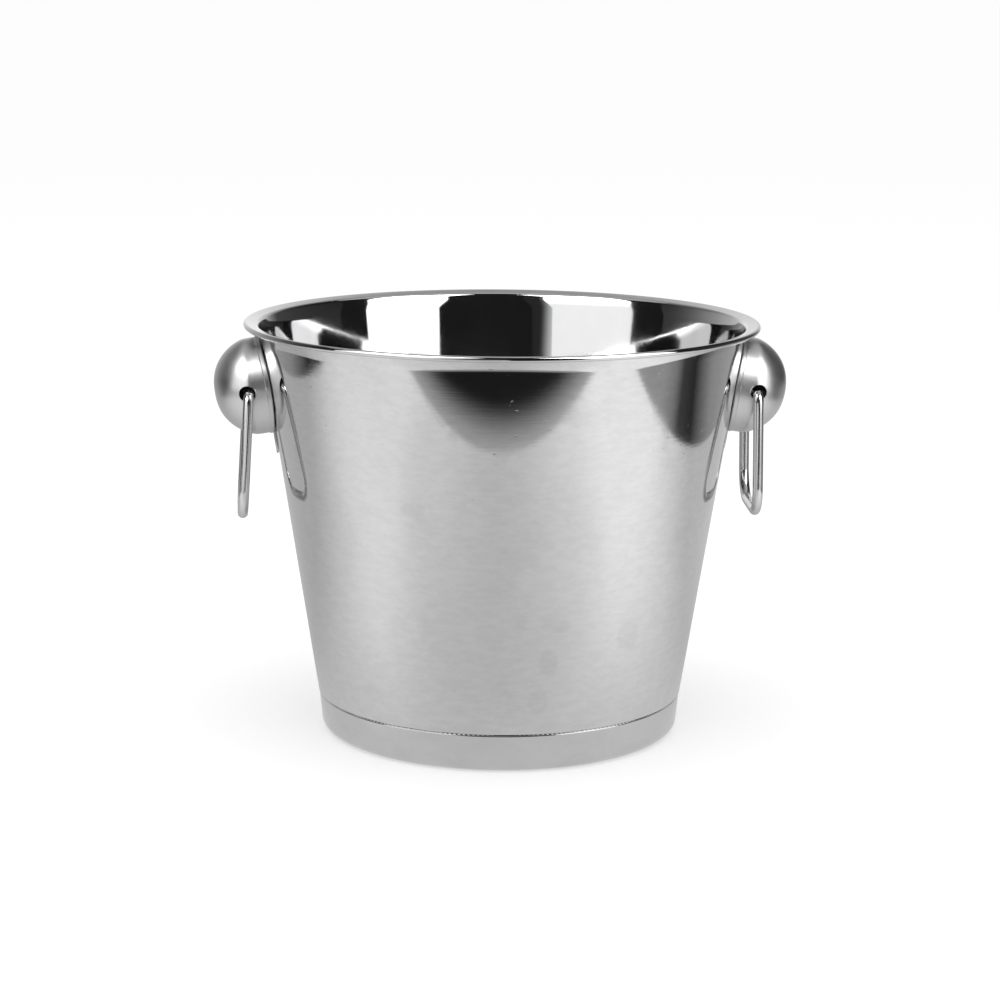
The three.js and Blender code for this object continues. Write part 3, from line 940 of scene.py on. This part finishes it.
def make_table():
    """The lit table top as the steel sees it: brightest in front, fading out at its front edge."""
    material, tree, glow = glowing("table_top", 1)
    depth = ranged(tree, along(tree, "Y"), -0.15, 0.12, 1, 0.55)
    left = ranged(tree, along(tree, "X"), -0.2, 0.0, 1.02, 0.84)
    right = ranged(tree, along(tree, "X"), 0.0, 0.26, 0, 0.34)
    side = combine(tree, "ADD", left, right)
    # A painted shade: a soft patch dims the table's glow near its front middle.
    shade = smudge_and_shade_patch(tree, (0, -0.34, 0), (0.3, 0.3, 0.3))
    side = combine(tree, "SUBTRACT", side, combine(tree, "MULTIPLY", shade, 0.14))
    tree.links.new(combine(tree, "MULTIPLY", depth, side), glow.inputs["Strength"])
    flat_card("table_card", (-0.536, -0.355), (0.425, 1.6), LEVEL, material)
    bench, tree, glow = glowing("bench", 1)
    tree.links.new(stepped(tree, along(tree, "Y"), BENCH), glow.inputs["Strength"])
    flat_card("bench_card", (-1.1, -0.34), (1.1, 1.5), BENCH_LEVEL, bench)
    edge, tree, glow = glowing("table_edge", 1)
    fade = ranged(tree, along(tree, "Y"), -0.412, -0.355, 0.02, 0.48)
    tree.links.new(fade, glow.inputs["Strength"])
    flat_card("table_edge", (-0.345, -0.412), (0.295, -0.355), LEVEL, edge)
    flat_card("front_paper", (-0.75, -1.3), (0.04, -0.53), LEVEL, glowing("front_paper", 0.95)[0])
    flat_card("ceiling", (-2.2, -0.35), (2.2, 3), 2.6, glowing("ceiling", 0.55)[0])


def make_room():
    """A dark room with a soft box on each side of the camera and a pale backdrop."""
    bm = bmesh.new()
    bmesh.ops.create_cone(bm, cap_ends=True, segments=64, radius1=3.9, radius2=3.9, depth=5.8)
    bmesh.ops.translate(bm, vec=(0, 0, 2.1), verts=bm.verts)
    reflected_only(stage_mesh("dark_room", bm, glowing("dark_room", 0.015)[0]))
    left = glowing_by_height("left_soft_box", 0.45, 0.8, 1.4, 6)
    curved_card("left_soft_box", (-149, -108), (-170, -104), BOX_REACH, BOX_LOW, BOX_HIGH, left)
    edge, tree, glow = glowing("left_box_edge", 1)
    fade = ranged(tree, turn_of(tree), math.radians(-160), math.radians(-150), 0.03, 1)
    tree.links.new(fade, glow.inputs["Strength"])
    curved_card("left_box_edge", (-160, -149), (-180, -170), BOX_REACH, BOX_LOW, BOX_HIGH, edge)
    right = glowing_by_height("right_soft_box", 0.4, 0.8, 2, 6)
    curved_card("right_soft_box", (104.5, 143), (100, 160), BOX_REACH, BOX_LOW, BOX_HIGH, right)
    feet = (("left_box_foot", (-160, -135), 0.9), ("right_box_foot", (100, 145), 0.85))
    for name, turns, strength in feet:
        curved_card(name, turns, turns, 1.4, -0.38, 0.0, glowing(name, strength)[0])
    make_backdrop()


def make_backdrop():
    material, tree, glow = glowing("backdrop", 1)
    stops = [(math.radians(turn), strength) for turn, strength in BACKDROP]
    brightness = stepped(tree, turn_of(tree), stops)
    height = ranged(tree, along(tree, "Z"), 0.5, 1.6, 1, 0.4)
    tree.links.new(combine(tree, "MULTIPLY", brightness, height), glow.inputs["Strength"])
    curved_card("backdrop", (-90, 90), (-90, 90), 2.2, -0.6, 3, material)


def make_top_light():
    light = bpy.data.lights.new("top_light", "AREA")
    light.shape = "RECTANGLE"
    light.size = 1.6
    light.size_y = 1.2
    light.energy = 12
    obj = bpy.data.objects.new("top_light", light)
    bpy.context.scene.collection.objects.link(obj)
    tilt = Matrix.Rotation(math.radians(-9), 4, "X")
    obj.matrix_world = STUDIO @ Matrix.Translation((0, -0.3, 1.8)) @ tilt
    obj.visible_glossy = False


def make_world():
    world = bpy.data.worlds.new("soft_white")
    world.use_nodes = True
    world.node_tree.nodes["Background"].inputs["Color"].default_value = (1, 1, 1, 1)
    world.node_tree.nodes["Background"].inputs["Strength"].default_value = 1
    bpy.context.scene.world = world


def make_camera():
    camera = bpy.data.cameras.new("camera")
    camera.sensor_width = 36
    camera.lens = 94.86
    camera.clip_start = 0.05
    camera.clip_end = 100
    obj = bpy.data.objects.new("camera", camera)
    bpy.context.scene.collection.objects.link(obj)
    place = Vector((-0.0783, -1.1152, 0.32495))
    view = Vector((0.0684, 0.9778, -0.1981))
    facing = view.to_track_quat("-Z", "Y").to_matrix().to_4x4()
    roll = Matrix.Rotation(math.radians(0.462), 4, "Z")
    obj.matrix_world = Matrix.Translation(place) @ facing @ roll
    bpy.context.scene.camera = obj


make_floor()
make_table()
make_room()
make_top_light()
make_world()
make_camera()

bpy.context.scene.view_settings.view_transform = "Standard"
